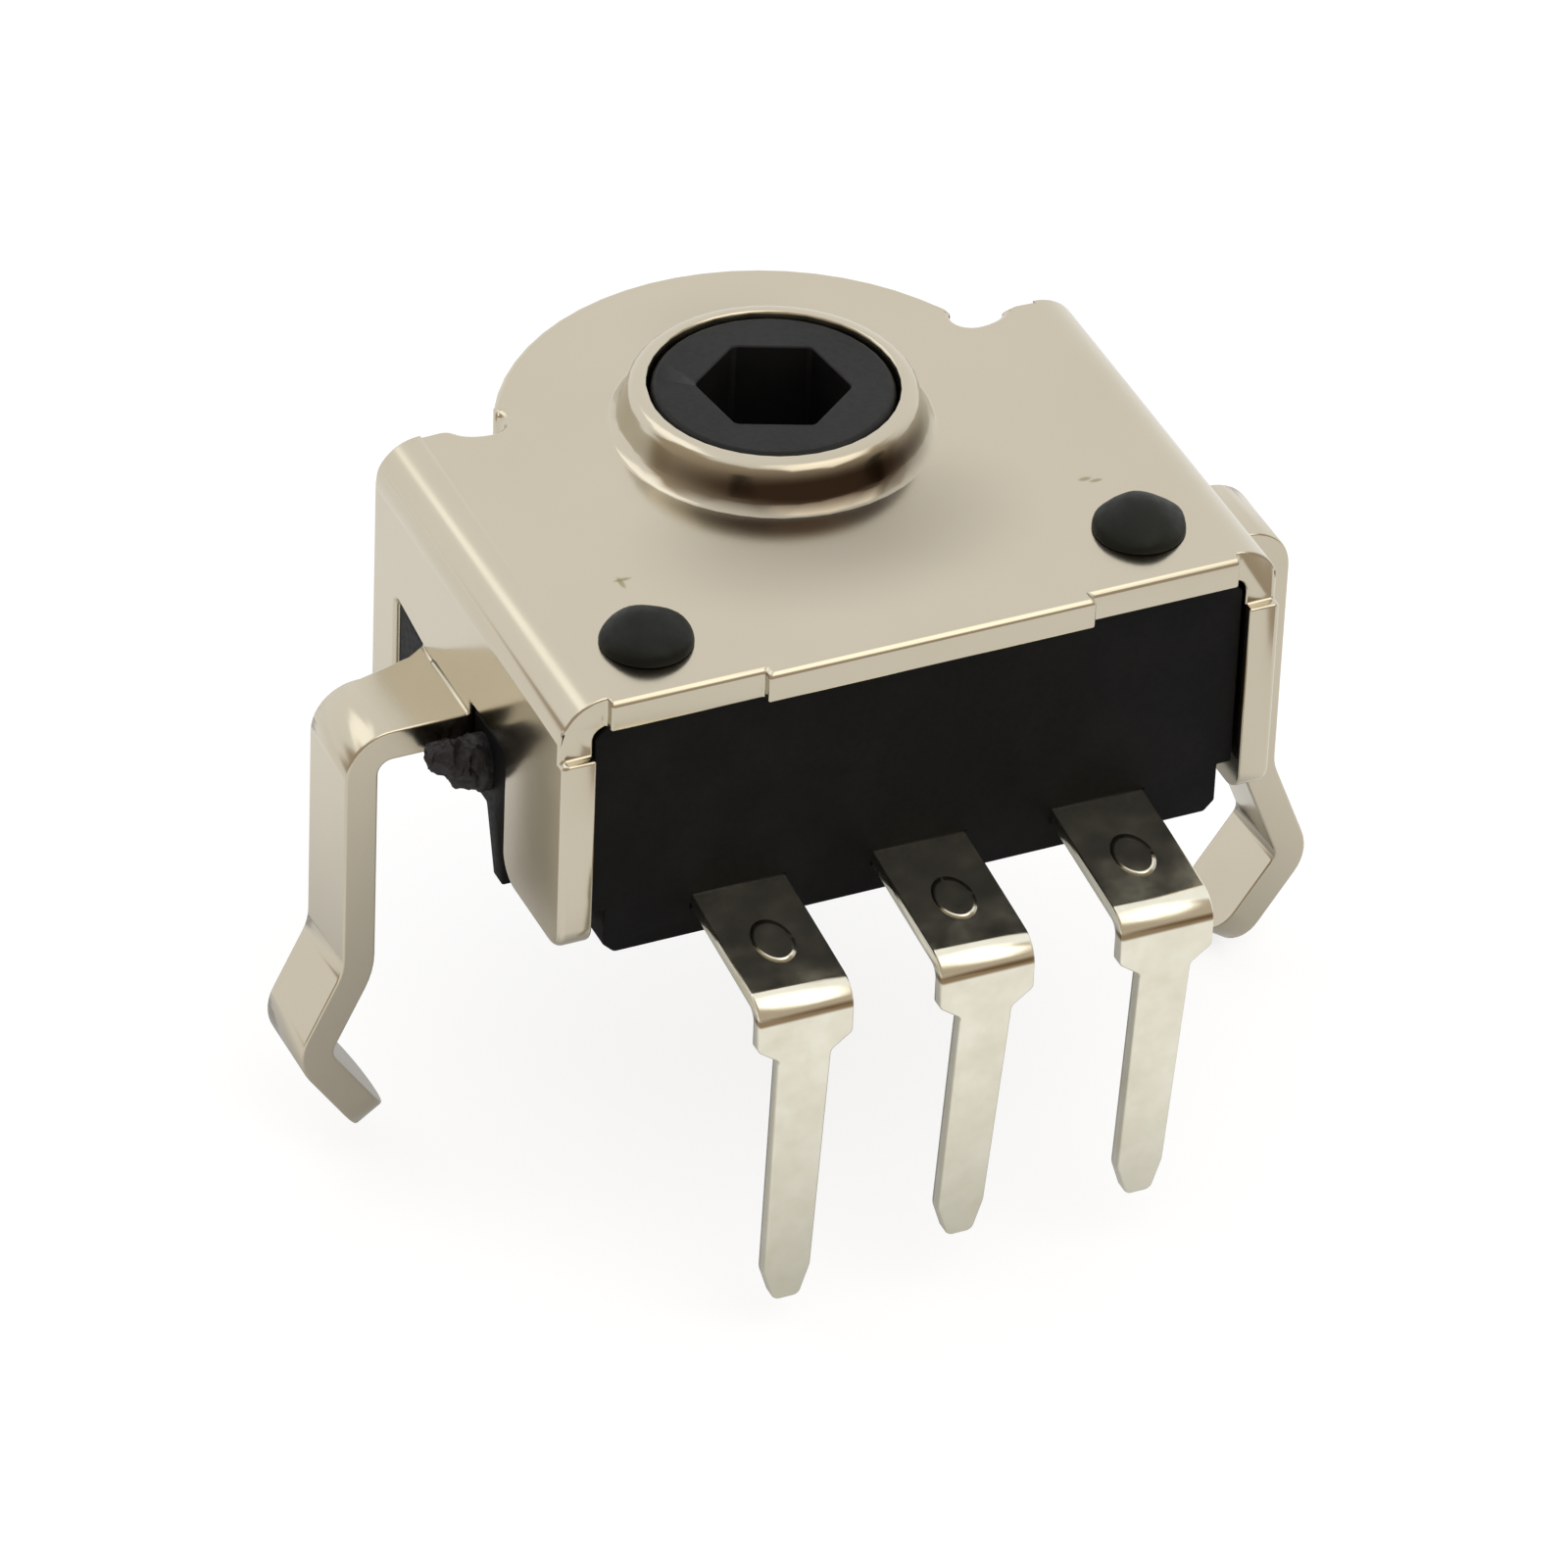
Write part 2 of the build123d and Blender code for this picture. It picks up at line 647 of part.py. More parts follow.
def pin(form):
    """Terminal outside the base: wide strip, bend, shoulder and a tapered blade."""
    inside_y = base_front_y + strip_inside
    middle_y = pin_face_y + terminal_t / 2
    tip_z = base_bottom_z - form.pin_length
    path = FilletPolyline(
        (inside_y, strip_z), (base_front_y, strip_z), (middle_y, strip_z - droop),
        (middle_y, tip_z), radius=[droop_radius, pin_bend_radius])
    sheet = along_x(trace(path, terminal_t), -terminal_wide, terminal_wide)
    wide, top, end = terminal_wide / 2, blade_top_width / 2, blade_tip_width / 2
    nose, nose_z = nose_share * end, tip_z + nose_length
    above, below = shoulder_z + shoulder_slope, shoulder_z - shoulder_slope
    right = [(wide, 0), (wide, above), (top, below), (form.lean + end, nose_z),
             (form.lean + nose, tip_z)]
    left = [(form.lean - nose, tip_z), (form.lean - end, nose_z), (-top, below),
            (-wide, above), (-wide, 0)]
    radii = [0, shoulder_round, shoulder_round, nose_round, nose_tip_round]
    front = ring_face(right + left, radii + radii[::-1])
    return sheet & along_y(front, pin_face_y - terminal_t, inside_y + terminal_t)


def tie_bar(form):
    """Strip on to the cut end in the rear notch, where the lead frame was joined."""
    side = form.place
    x = side * (terminal_pitch + terminal_wide / 2 - tie_bar_set_in - tie_bar_width / 2)
    start_y = contact_place(form)[1] - finger_length - finger_heel
    end_y = wall_outer + tie_end_out
    route = FilletPolyline(
        (x, start_y), (x, tie_bar_turn_y), (form.tie_x, end_y - tie_end_length - finger_heel),
        (form.tie_x, end_y), radius=[tie_bar_width, tie_bar_width / 2])
    low, high = strip_z - terminal_t / 2, strip_top_z
    half = form.tie_width / 2
    end = block(form.tie_x - half, form.tie_x + half, end_y - tie_end_length, end_y, low, high)
    return along_z(trace(route, tie_bar_width), low, high) + end


def terminal(form):
    """One stamped terminal: pin, moulded-in strip, wiper and, outside C, the tie bar."""
    x = form.place * terminal_pitch + terminal_shift
    wiper_x, contact_y = contact_place(form)
    half = terminal_wide / 2
    body = Pos(x, 0, 0) * pin(form)
    body += block(x - half, x + half, base_front_y + strip_inside, contact_y - finger_length,
                  strip_z - terminal_t / 2, strip_top_z)
    body += finger(wiper_x, contact_y)
    if form.tie_width:
        body += tie_bar(form)
    return body


# ================================================================ assembly
def build():
    """Every piece of the encoder, by the name of its node."""
    terminal_solids = {name: terminal(form) for name, form in terminals.items()}
    disc_solid = code_disc()
    return {
        "frame": frame(),
        "base": base(terminal_solids.values()),
        "rotor": rotor(disc_solid),
        "code_disc": disc_solid,
        "click_spring": click_spring(),
        **terminal_solids,
    }


os.makedirs("parts", exist_ok=True)
for name, solid in build().items():
    export_step(solid, f"parts/{name}.step")
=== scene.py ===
"""Looks of a mouse scroll encoder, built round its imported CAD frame.

Units are metres in the frame of the part: +Z runs up the rotor axis, -Y faces the
terminals and +Y the rounded rear.  Sizes in this file are written in millimetres and
turned to metres once, by MM.
"""

import logging
import math
from dataclasses import astuple, dataclass
from enum import Enum
from typing import Any, Mapping, Sequence

import bmesh
import bpy
from mathutils import Matrix, Vector, noise


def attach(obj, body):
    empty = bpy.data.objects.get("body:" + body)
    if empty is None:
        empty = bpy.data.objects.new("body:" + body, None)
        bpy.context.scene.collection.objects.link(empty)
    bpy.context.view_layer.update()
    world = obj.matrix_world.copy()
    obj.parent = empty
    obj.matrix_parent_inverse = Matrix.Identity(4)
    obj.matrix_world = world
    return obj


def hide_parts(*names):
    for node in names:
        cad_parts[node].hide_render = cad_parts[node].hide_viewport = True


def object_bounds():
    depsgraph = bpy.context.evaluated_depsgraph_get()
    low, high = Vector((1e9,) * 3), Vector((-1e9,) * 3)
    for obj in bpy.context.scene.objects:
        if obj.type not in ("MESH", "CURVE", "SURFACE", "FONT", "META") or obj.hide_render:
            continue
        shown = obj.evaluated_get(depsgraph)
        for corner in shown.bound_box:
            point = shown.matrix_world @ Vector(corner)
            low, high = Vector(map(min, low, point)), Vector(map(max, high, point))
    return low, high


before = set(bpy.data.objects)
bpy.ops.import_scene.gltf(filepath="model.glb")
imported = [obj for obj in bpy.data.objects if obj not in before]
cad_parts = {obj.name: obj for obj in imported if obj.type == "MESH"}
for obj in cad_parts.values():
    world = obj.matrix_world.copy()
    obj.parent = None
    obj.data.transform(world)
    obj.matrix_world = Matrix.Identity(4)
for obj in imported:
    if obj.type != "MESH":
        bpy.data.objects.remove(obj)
CAD_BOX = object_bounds()

MM = 0.001
WELD_MM = 0.002                  # joins the borders of the CAD's faces
FLAT_DEG = 0.3                   # faces that meet within this angle are one flat
NOISE_SPAN = (0.3, 0.7)          # a noise texture seldom leaves this span
LOG = logging.getLogger("encoder")


class Body(Enum):
    """The two rigid bodies of the encoder."""

    HOUSING = "housing"
    ROTOR = "rotor_unit"


class Slot(Enum):
    """The record's material slots."""

    NICKEL = "nickel_plate"
    HOUSING = "housing_black"
    ROTOR = "rotor_black"
    SPRING = "spring_bronze"
    CONTACT = "contact_gold"
    TERMINAL = "terminal_tin"


# ------------------------------------------------------------------ small helpers
def srgb(hex_colour: str, alpha: float = 1.0) -> tuple[float, float, float, float]:
    """Turn an sRGB hex colour into Blender's linear values.

    Args:
        hex_colour: Six hex digits, with or without a leading hash.
        alpha: Opacity of the colour.

    Returns:
        Linear red, green and blue, and the alpha.
    """
    digits = hex_colour.lstrip("#")
    linear = []
    for start in (0, 2, 4):
        value = int(digits[start:start + 2], 16) / 255
        linear.append(value / 12.92 if value <= 0.04045 else ((value + 0.055) / 1.055) ** 2.4)
    return (*linear, alpha)


def per_metre(size_mm: float) -> float:
    """Scale of a texture whose pattern repeats every size_mm millimetres."""
    return 1 / (size_mm * MM)


def add_node(tree: bpy.types.NodeTree, kind: str, values: Mapping[Any, Any] | None = None,
             links: Mapping[Any, bpy.types.NodeSocket] | None = None,
             **settings: Any) -> bpy.types.Node:
    """Add a shader node with its settings, socket values and incoming links.

    Args:
        tree: Node tree that takes the node.
        kind: Blender's type name of the node.
        values: Default value for each input, by name or index.
        links: Output socket to join to each input, by name or index.
        **settings: Attributes of the node itself.

    Returns:
        The new node.
    """
    node = tree.nodes.new(kind)
    for name, value in settings.items():
        setattr(node, name, value)
    for name, value in (values or {}).items():
        node.inputs[name].default_value = value
    for name, socket in (links or {}).items():
        tree.links.new(socket, node.inputs[name])
    return node


def new_material(name: str) -> tuple[bpy.types.Material, bpy.types.NodeTree]:
    """Make an empty node material.

    Args:
        name: Name of the real material and its process.

    Returns:
        The material and its cleared node tree.
    """
    material = bpy.data.materials.new(name)
    material.use_nodes = True
    material.node_tree.nodes.clear()
    return material, material.node_tree


# ------------------------------------------------------------------ making pieces
@dataclass(frozen=True)
class EdgeBreak:
    """How the crisp edges of a piece are rounded off."""

    width_mm: float
    above_deg: float = 25.0          # a softer edge is part of a curve
    below_deg: float = 150.0         # a sharper fold is left alone
    segments: int = 2
    room_share: float = 1.3          # room that an edge needs, in its own widths

    def mark(self, shape: bmesh.types.BMesh) -> None:
        """Mark the crisp edges whose faces have room for the rounding.

        Args:
            shape: The mesh; its crisp edges get a bevel weight of one.
        """
        weight = shape.edges.layers.float.new("bevel_weight_edge")
        wanted = self.room_share * self.width_mm * MM
        for edge in shape.edges:
            angle = math.degrees(edge.calc_face_angle(0.0))
            if self.above_deg < angle < self.below_deg:
                room = min(face.calc_area() for face in edge.link_faces) / edge.calc_length()
                edge[weight] = float(room > wanted)
            edge.smooth = angle < self.below_deg

    def apply_to(self, piece: bpy.types.Object) -> None:
        """Add the rounding, and keep the flats shaded flat beside it.

        Args:
            piece: The object that was made from the marked mesh.
        """
        edge = piece.modifiers.new("edge_break", "BEVEL")
        edge.limit_method = "WEIGHT"
        edge.width = self.width_mm * MM
        edge.segments = self.segments
        edge.use_clamp_overlap = False
        edge.harden_normals = True
        flats = piece.modifiers.new("flat_faces", "WEIGHTED_NORMAL")
        flats.keep_sharp = True


def welded_node(node: str) -> bmesh.types.BMesh:
    """Copy a CAD node's mesh, its face borders joined and each flat made one face.

    Args:
        node: Name of the CAD node.

    Returns:
        The copy, ready for edits.
    """
    shape = bmesh.new()
    shape.from_mesh(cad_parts[node].data)
    bmesh.ops.remove_doubles(shape, verts=shape.verts, dist=WELD_MM * MM)
    bmesh.ops.dissolve_limit(shape, angle_limit=math.radians(FLAT_DEG), verts=shape.verts,
                             edges=shape.edges)
    for face in shape.faces:
        face.material_index = 0
    return shape


def vert_ring(shape: bmesh.types.BMesh, points: Sequence[Vector]) -> list[bmesh.types.BMVert]:
    """Add one vertex for each point of a closed ring."""
    return [shape.verts.new(point) for point in points]


def skin_rings(shape: bmesh.types.BMesh, rings: Sequence[list[bmesh.types.BMVert]]) -> None:
    """Join rings of equal count with quads, and cap the first and the last.

    Args:
        shape: The mesh that holds the rings.
        rings: Rings of vertices, in order.
    """
    for low, high in zip(rings, rings[1:]):
        for step, corner in enumerate(low):
            after = (step + 1) % len(low)
            shape.faces.new((corner, low[after], high[after], high[step]))
    shape.faces.new(rings[0][::-1])
    shape.faces.new(rings[-1])


def as_piece(shape: bmesh.types.BMesh, name: str, body: Body, slot: Slot,
             *materials: bpy.types.Material, edge: EdgeBreak | None = None,
             stands_for: Sequence[str] = ()) -> bpy.types.Object:
    """Turn an edited mesh into a piece of the encoder.

    Args:
        shape: The mesh; it is freed.
        name: Name of the piece.
        body: Rigid body that it rides on.
        slot: Material slot of the record; not used.
        *materials: Its finishes, in the order of the faces' material numbers.
        edge: Rounding of its edges, where it has one.
        stands_for: CAD nodes that it replaces.

    Returns:
        The new object.
    """
    for face in shape.faces:
        face.smooth = True
    if edge:
        edge.mark(shape)
    mesh = bpy.data.meshes.new(name)
    shape.to_mesh(mesh)
    shape.free()
    piece = bpy.data.objects.new(name, mesh)
    bpy.context.scene.collection.objects.link(piece)
    for material in materials:
        mesh.materials.append(material)
    if edge:
        edge.apply_to(piece)
    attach(piece, body.value)
    if stands_for:
        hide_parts(*stands_for)
    LOG.info("%s: %d faces, %s", name, len(mesh.polygons),
             " and ".join(material.name for material in materials))
    return piece


# ------------------------------------------------------------------ finishes
@dataclass(frozen=True)
class TintPatch:
    """A small patch painted into a finish's tint: its middle, its half sizes and its colour."""

    middle_mm: tuple[float, float, float]
    half_mm: tuple[float, float, float]
    colour: str
    strength: float = 0.7
    core: float = 0.3                # this share of its reach has the full strength

    def paint(self, tree: bpy.types.NodeTree, place: bpy.types.NodeSocket,
              tint: bpy.types.NodeSocket) -> bpy.types.NodeSocket:
        """Blend the patch into a finish's tint.

        Args:
            tree: Node tree of the finish.
            place: Position on the piece.
            tint: Tint of the finish so far.

        Returns:
            The tint with the patch.
        """
        away = add_node(tree, "ShaderNodeVectorMath",
                        {1: Vector(self.middle_mm) * MM}, {0: place}, operation="SUBTRACT")
        reach = add_node(tree, "ShaderNodeVectorMath", {1: Vector(self.half_mm) * MM},
                         {0: away.outputs[0]}, operation="DIVIDE")
        length = add_node(tree, "ShaderNodeVectorMath", links={0: reach.outputs[0]},
                          operation="LENGTH")
        share = add_node(tree, "ShaderNodeMapRange",
                         {"From Min": self.core, "From Max": 1.0, "To Min": self.strength,
                          "To Max": 0.0},
                         {"Value": length.outputs["Value"]}, interpolation_type="SMOOTHSTEP")
        mix = add_node(tree, "ShaderNodeMix", {"B": srgb(self.colour)},
                       {"Factor": share.outputs["Result"], "A": tint}, data_type="RGBA")
        return mix.outputs[2]


@dataclass(frozen=True)
class RolledMetal:
    """A plated sheet metal with a fine rolled grain and a soft, cloudy tint."""

    name: str
    colour: str
    cloud_colour: str
    roughness: float
    cloud_mm: float
    grain_mm: float                  # a real one is near 0.01: drawn coarser, so that it shows
    grain_depth_mm: float
    roughness_spread: float = 0.06
    tint_patches: tuple[TintPatch, ...] = ()

    def material(self) -> bpy.types.Material:
        """Build the node material.

        Returns:
            A metal whose tint and gloss drift over the sheet, with a fine grain.
        """
        material, tree = new_material(self.name)
        place = add_node(tree, "ShaderNodeTexCoord").outputs["Object"]
        cloud = add_node(tree, "ShaderNodeTexNoise",
                         {"Scale": per_metre(self.cloud_mm), "Detail": 3.0, "Roughness": 0.55},
                         {"Vector": place})
        tint = add_node(tree, "ShaderNodeMix",
                        {"A": srgb(self.colour), "B": srgb(self.cloud_colour)},
                        data_type="RGBA")
        tree.links.new(cloud.outputs["Fac"], tint.inputs["Factor"])
        colour = tint.outputs[2]
        # blend in the patches: painted reflections and small marks
        for tint_patch in self.tint_patches:
            colour = tint_patch.paint(tree, place, colour)
        gloss = add_node(tree, "ShaderNodeMapRange",
                         {"From Min": NOISE_SPAN[0], "From Max": NOISE_SPAN[1],
                          "To Min": self.roughness - self.roughness_spread,
                          "To Max": self.roughness + self.roughness_spread},
                         {"Value": cloud.outputs["Fac"]})
        grain = add_node(tree, "ShaderNodeTexNoise",
                         {"Scale": per_metre(self.grain_mm), "Detail": 2.0},
                         {"Vector": place})
        bump = add_node(tree, "ShaderNodeBump",
                        {"Strength": 1.0, "Distance": self.grain_depth_mm * MM},
                        {"Height": grain.outputs["Fac"]})
        shader = add_node(tree, "ShaderNodeBsdfPrincipled", {"Metallic": 1.0},
                          {"Base Color": colour, "Roughness": gloss.outputs["Result"],
                           "Normal": bump.outputs["Normal"]})
        add_node(tree, "ShaderNodeOutputMaterial", links={"Surface": shader.outputs["BSDF"]})
        return material


@dataclass(frozen=True)
class MouldedResin:
    """A filled engineering plastic with the fine skin of an eroded mould."""

    name: str
    colour: str
    fleck_colour: str
    roughness: float
    skin_mm: float                   # eroded pits are near 0.02: drawn coarser, so that they show
    skin_depth_mm: float
    specular: float
    flow_per_skin: float = 14.0      # size of a flow cloud, in pits
    flow_span: tuple[float, float] = (0.45, 0.75)        # of its noise, bare to full
    gloss_drift: tuple[float, float] = (-0.05, 0.07)     # on the roughness

    def material(self) -> bpy.types.Material:
        """Build the node material.

        Returns:
            A dark plastic with a fine skin and faint paler flow clouds.
        """
        material, tree = new_material(self.name)
        place = add_node(tree, "ShaderNodeTexCoord").outputs["Object"]
        flow = add_node(tree, "ShaderNodeTexNoise",
                        {"Scale": per_metre(self.flow_per_skin * self.skin_mm),
                         "Detail": 4.0},
                        {"Vector": place})
        tint = add_node(tree, "ShaderNodeMix",
                        {"A": srgb(self.colour), "B": srgb(self.fleck_colour)},
                        data_type="RGBA")
        share = add_node(tree, "ShaderNodeMapRange",
                         {"From Min": self.flow_span[0], "From Max": self.flow_span[1]},
                         {"Value": flow.outputs["Fac"]})
        tree.links.new(share.outputs["Result"], tint.inputs["Factor"])
        skin = add_node(tree, "ShaderNodeTexNoise",
                        {"Scale": per_metre(self.skin_mm), "Detail": 3.0},
                        {"Vector": place})
        bump = add_node(tree, "ShaderNodeBump",
                        {"Strength": 1.0, "Distance": self.skin_depth_mm * MM},
                        {"Height": skin.outputs["Fac"]})
        gloss = add_node(tree, "ShaderNodeMapRange",
                         {"From Min": NOISE_SPAN[0], "From Max": NOISE_SPAN[1],
                          "To Min": self.roughness + self.gloss_drift[0],
                          "To Max": self.roughness + self.gloss_drift[1]},
                         {"Value": skin.outputs["Fac"]})
        shader = add_node(tree, "ShaderNodeBsdfPrincipled",
                          {"Specular IOR Level": self.specular},
                          {"Base Color": tint.outputs[2], "Roughness": gloss.outputs["Result"],
                           "Normal": bump.outputs["Normal"]})
        add_node(tree, "ShaderNodeOutputMaterial", links={"Surface": shader.outputs["BSDF"]})
        return material


# Bright nickel over cold-rolled steel: a warm, silky grey that mirrors softly.  Brown bands
# painted round the drawn collar are painted reflection of the darker room in front; the plate has
# small olive ticks.
NICKEL_PLATED_STEEL = RolledMetal(
    name="nickel_plated_rolled_steel", colour="#C1B9A8", cloud_colour="#BAB29E",
    roughness=0.18, cloud_mm=3.0, grain_mm=0.08, grain_depth_mm=0.0002, roughness_spread=0.03,
    # painted reflection: brown bands on the collar's wall, front and rear
    tint_patches=(TintPatch((-0.2, -2.4, 0.27), (4.4, 2.9, 0.38), "#43352B", 1.0),
            TintPatch((0.2, 2.4, 0.27), (3.4, 2.2, 0.30), "#54463A", 1.0),
            TintPatch((-3.20, -2.56, 0.0), (0.05, 0.17, 0.2), "#7D7448", 0.6),
            TintPatch((-3.16, -2.50, 0.0), (0.16, 0.05, 0.2), "#7D7448", 0.6),
            TintPatch((3.22, -2.58, 0.0), (0.12, 0.06, 0.2), "#7D7448", 0.6),
            TintPatch((3.34, -2.66, 0.0), (0.12, 0.05, 0.2), "#7D7448", 0.6)))
# Tin over brass strip: paler, more mottled than the frame; a brown line under each bend is
# painted reflection.
TINNED_BRASS = RolledMetal(
    name="tin_plated_brass_strip", colour="#E8E5D8", cloud_colour="#CFCAB4",
    roughness=0.20, cloud_mm=0.5, grain_mm=0.14, grain_depth_mm=0.0008, roughness_spread=0.07,
    # painted reflection: a brown line along the lower end of each bend
    tint_patches=(TintPatch((0.0, -7.0, -3.92), (60.0, 0.6, 0.075), "#6E5020", 0.85),))
# The same strip where it was cut off after plating: bare, warm yellow brass.
CUT_BRASS = RolledMetal(
    name="cut_brass_end", colour="#C9A24A", cloud_colour="#A98436",
    roughness=0.26, cloud_mm=0.3, grain_mm=0.06, grain_depth_mm=0.001, roughness_spread=0.05)
# Bare phosphor bronze, rolled bright: copper-brown with hot glints.
PHOSPHOR_BRONZE = RolledMetal(
    name="rolled_phosphor_bronze", colour="#B8804E", cloud_colour="#9A6238",
    roughness=0.24, cloud_mm=1.5, grain_mm=0.08, grain_depth_mm=0.0004)
# Gold flash over the etched contact plate: deep yellow, nearly mirror-bright.
GOLD_FLASHED_PLATE = RolledMetal(
    name="gold_flashed_contact_plate", colour="#D8AE58", cloud_colour="#C0923C",
    roughness=0.22, cloud_mm=1.5, grain_mm=0.08, grain_depth_mm=0.0003)
# Glass-filled polyester in an eroded mould: black with a flat grey sheen.
MOULDED_POLYESTER = MouldedResin(
    name="moulded_glass_filled_polyester", colour="#0D0D0E", fleck_colour="#161617",
    roughness=0.48, skin_mm=0.08, skin_depth_mm=0.002, specular=0.08)
# The same polyester domed over by a hot punch: the skin is gone, so it is greyer.
STAKED_POLYESTER = MouldedResin(
    name="heat_staked_polyester", colour="#151714", fleck_colour="#20221D",
    roughness=0.48, skin_mm=0.12, skin_depth_mm=0.004, specular=0.14)
# The same polyester where the gate was torn off: a broken, dusty, lighter face.
TORN_POLYESTER = MouldedResin(
    name="torn_polyester", colour="#1A1719", fleck_colour="#3A3638",
    roughness=0.55, skin_mm=0.06, skin_depth_mm=0.012, specular=0.35)
# Acetal in a polished mould: a softer, lighter black that wears slick.
MOULDED_ACETAL = MouldedResin(
    name="moulded_acetal", colour="#121212", fleck_colour="#191A19",
    roughness=0.42, skin_mm=0.08, skin_depth_mm=0.0015, specular=0.18)


# ------------------------------------------------------------------ sub-assemblies
@dataclass
class SheetFrame:
    """The nickel-plated stamping: plate, collar, side plates and snap-in legs."""

    edge: EdgeBreak = EdgeBreak(0.035)
    shoulder_y_mm: float = 1.37      # rear edge of the side plates
    relief_x_mm: float = 3.42        # middle of the relief beside the round rear
    relief_reach_mm: float = 0.50
    relief_stretch: float = 1.7      # it runs out this much longer towards the side
    slack_mm: float = 0.01           # for points that lie on the shoulder's edge

    def ease_relief(self, shape: bmesh.types.BMesh) -> None:
        """Draw each relief out into a soft hollow on its shoulder side.

        Args:
            shape: Mesh of the stamping.
        """
        for vert in shape.verts:
            side = 1 if vert.co.x > 0 else -1
            reach = side * vert.co.x / MM - self.relief_x_mm
            depth = self.shoulder_y_mm - vert.co.y / MM
            if 0 < reach < self.relief_reach_mm and -self.slack_mm < depth < self.relief_reach_mm:
                vert.co.x = side * (self.relief_x_mm + reach * self.relief_stretch) * MM

    def build(self, material: bpy.types.Material) -> None:
        """Build the stamping and put its finish on.

        Args:
            material: Finish of the plated sheet.
        """
        shape = welded_node("frame")
        self.ease_relief(shape)
        as_piece(shape, "sheet_stamping", Body.HOUSING, Slot.NICKEL, material,
                 edge=self.edge, stands_for=("frame",))


@dataclass(frozen=True)
class LumpRing:
    """One ring of a torn lump: how far out, its middle height, half width and half height."""

    out_mm: float
    height_mm: float
    half_width_mm: float
    half_height_mm: float


@dataclass
class MouldedBase:
    """The black moulding, with its staked heads and the torn gate."""

    edge: EdgeBreak = EdgeBreak(0.03)
    lug_face_mm: float = 4.90        # outer face of the lugs
    stub_from_mm: float = 4.91       # what lies further out is the plain gate stub
    staked_from_mm: float = 0.01     # what lies higher is a staked head
    gate_y_mm: float = -2.30
    gate_rings: tuple[LumpRing, ...] = (
        LumpRing(-0.04, -2.50, 0.30, 0.42), LumpRing(0.10, -2.49, 0.31, 0.40),
        LumpRing(0.24, -2.45, 0.27, 0.34), LumpRing(0.38, -2.40, 0.28, 0.31),
        LumpRing(0.52, -2.35, 0.27, 0.27), LumpRing(0.66, -2.28, 0.22, 0.19),
        LumpRing(0.78, -2.22, 0.14, 0.12), LumpRing(0.84, -2.19, 0.06, 0.05),
    )
    seed: int = 5                    # of the lumps, the same at every run
    gate_sides: int = 56
    gate_steps: int = 5              # rings from one listed ring to the next
    gate_root_mm: float = 0.2        # the lumps grow to full size over this
    gate_lumps: tuple[tuple[float, float], ...] = (      # size and height in mm
        (0.24, 0.080), (0.10, 0.050), (0.045, 0.022),
    )
    head_foot_mm: float = 0.02       # the heads are uneven from here up
    head_lump_mm: float = 0.55
    head_rough_mm: float = 0.05

    def drop_stub(self, shape: bmesh.types.BMesh) -> None:
        """Cut the plain gate stub off the left lug and close the lug's face.

        Args:
            shape: Mesh of the moulding.
        """
        limit = -self.stub_from_mm * MM
        stub = [face for face in shape.faces if any(vert.co.x < limit for vert in face.verts)]
        bmesh.ops.delete(shape, geom=stub, context="FACES")
        loose = [vert for vert in shape.verts if not vert.link_faces]
        bmesh.ops.delete(shape, geom=loose, context="VERTS")
        bmesh.ops.holes_fill(shape, edges=[edge for edge in shape.edges if edge.is_boundary])

    def gate_stations(self) -> list[LumpRing]:
        """Fill in rings between the listed ones, so that the small lumps have a mesh.

        Returns:
            All rings of the torn gate, from its root outwards.
        """
        stations = []
        for low, high in zip(self.gate_rings, self.gate_rings[1:]):
            for step in range(self.gate_steps):
                share = step / self.gate_steps
                stations.append(LumpRing(*(
                    a + (b - a) * share for a, b in zip(astuple(low), astuple(high)))))
        return stations + [self.gate_rings[-1]]

    def tear_gate(self) -> bmesh.types.BMesh:
        """Loft the torn gate as a lumpy tongue out of the lug.

        Returns:
            Mesh of the torn gate.
        """
        shape = bmesh.new()
        rings = []
        for ring in self.gate_stations():
            points = []
            for side in range(self.gate_sides):
                turn = 2 * math.pi * side / self.gate_sides
                point = Vector((-(self.lug_face_mm + ring.out_mm),
                                self.gate_y_mm + ring.half_width_mm * math.cos(turn),
                                ring.height_mm + ring.half_height_mm * math.sin(turn)))
                ramp = min(1.0, max(0.0, ring.out_mm) / self.gate_root_mm)
                rough = Vector()
                for size, height in self.gate_lumps:
                    rough += noise.noise_vector(point / size) * height
                points.append((point + rough * ramp) * MM)
            rings.append(vert_ring(shape, points))
        skin_rings(shape, rings)
        bmesh.ops.recalc_face_normals(shape, faces=shape.faces)
        return shape

    def shake_heads(self, shape: bmesh.types.BMesh) -> None:
        """Make the staked heads a little uneven, as a hot punch leaves them.

        Args:
            shape: Mesh of the moulding.
        """
        for vert in shape.verts:
            if vert.co.z > self.head_foot_mm * MM:
                place = vert.co / (self.head_lump_mm * MM)
                vert.co += noise.noise_vector(place) * self.head_rough_mm * MM

    def build(self, skin: bpy.types.Material, staked: bpy.types.Material,
              torn: bpy.types.Material) -> None:
        """Build the moulding and its torn gate.

        Args:
            skin: Finish of the moulded faces.
            staked: Finish of the staked heads.
            torn: Finish of the torn gate.
        """
        noise.seed_set(self.seed)
        shape = welded_node("base")
        self.drop_stub(shape)
        self.shake_heads(shape)
        for face in shape.faces:
            face.material_index = int(face.calc_center_median().z > self.staked_from_mm * MM)
        as_piece(shape, "moulded_base", Body.HOUSING, Slot.HOUSING, skin, staked,
                 edge=self.edge, stands_for=("base",))
        as_piece(self.tear_gate(), "torn_gate", Body.HOUSING, Slot.HOUSING, torn)


